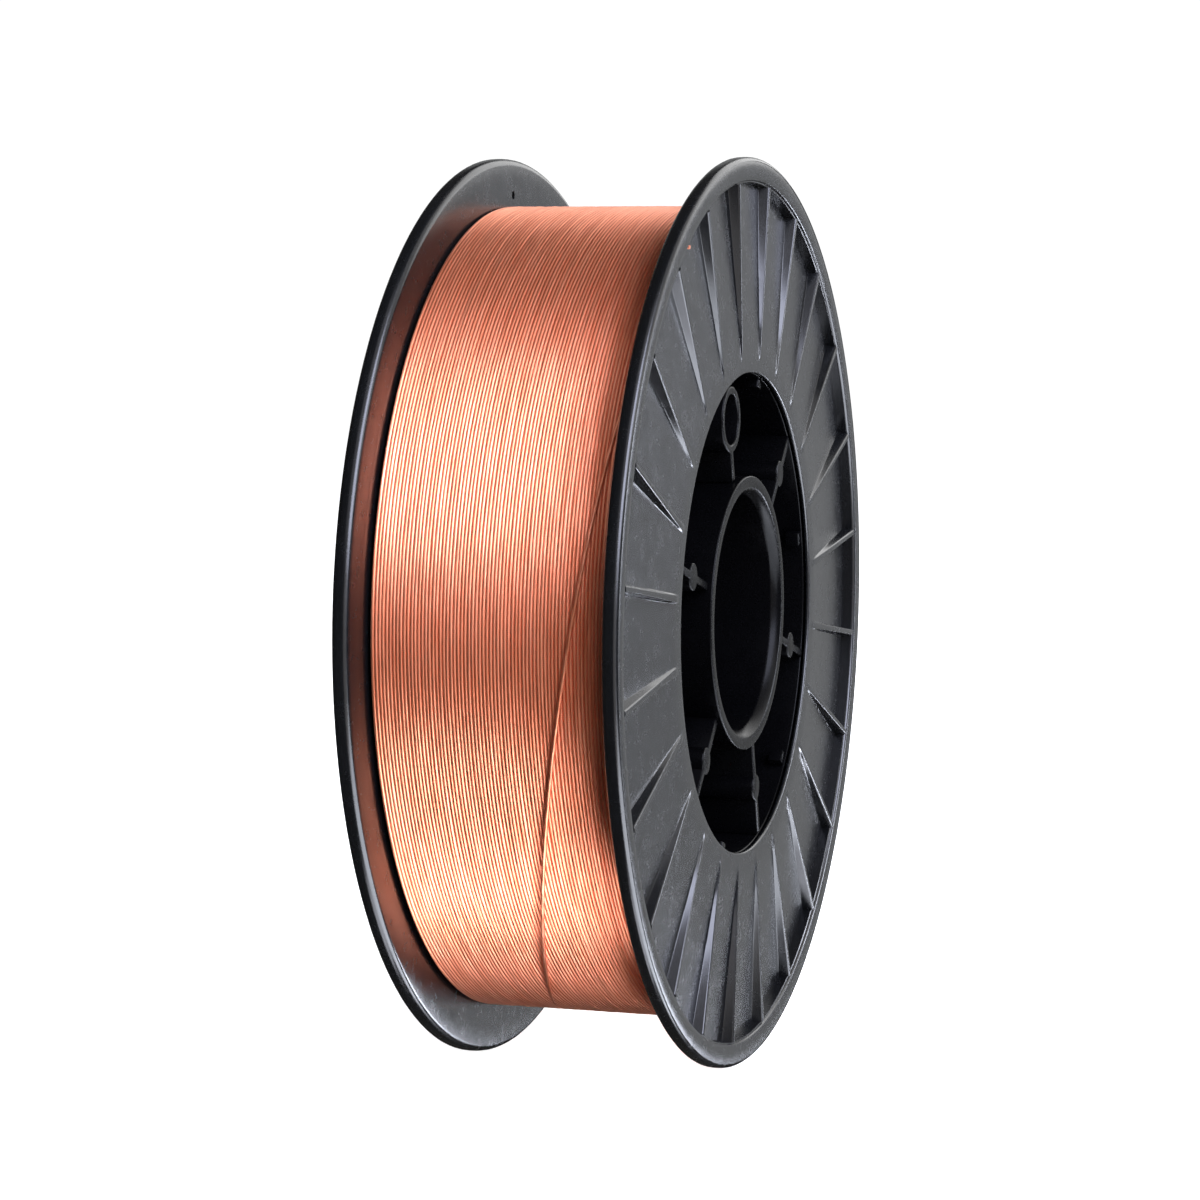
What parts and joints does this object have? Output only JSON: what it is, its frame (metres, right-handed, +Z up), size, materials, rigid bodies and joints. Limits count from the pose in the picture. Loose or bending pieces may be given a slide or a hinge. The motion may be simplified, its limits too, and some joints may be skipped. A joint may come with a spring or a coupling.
{
  "type": "wire spool",
  "caption": "Flanged plastic spool with a ribbed basket core, wound full of copper-coated wire, that turns on a machine's spindle.",
  "frame": {"origin": "centre of the spool: on its axis, on the joint plane between the two mouldings", "axes": "+Y along the spool axis from the near flange to the far flange, +Z up with the spool's axis level, +X to the right of a person who looks at the near flange"},
  "size_m": [0.2, 0.06, 0.2],
  "materials": {
    "black_plastic": "moulded black plastic with a soft sheen",
    "copper_coated_wire": "bright copper-coated steel wire in close level turns"
  },
  "bodies": {
    "root": {"near_flange": "black_plastic", "near_barrel_half": "black_plastic", "near_hub_half": "black_plastic", "near_drive_sleeve": "black_plastic", "near_core_rib_1": "black_plastic", "near_core_rib_2": "black_plastic", "near_core_rib_3": "black_plastic", "near_core_rib_4": "black_plastic", "near_core_rib_5": "black_plastic", "far_flange": "black_plastic", "far_barrel_half": "black_plastic", "far_hub_half": "black_plastic", "far_drive_sleeve": "black_plastic", "far_core_rib_1": "black_plastic", "far_core_rib_2": "black_plastic", "far_core_rib_3": "black_plastic", "far_core_rib_4": "black_plastic", "far_core_rib_5": "black_plastic", "joint_peg_1": "black_plastic", "joint_peg_2": "black_plastic", "joint_peg_3": "black_plastic", "joint_peg_4": "black_plastic", "joint_peg_5": "black_plastic", "wire_pack": "copper_coated_wire", "wire_free_end": "copper_coated_wire"}
  },
  "joints": []
}
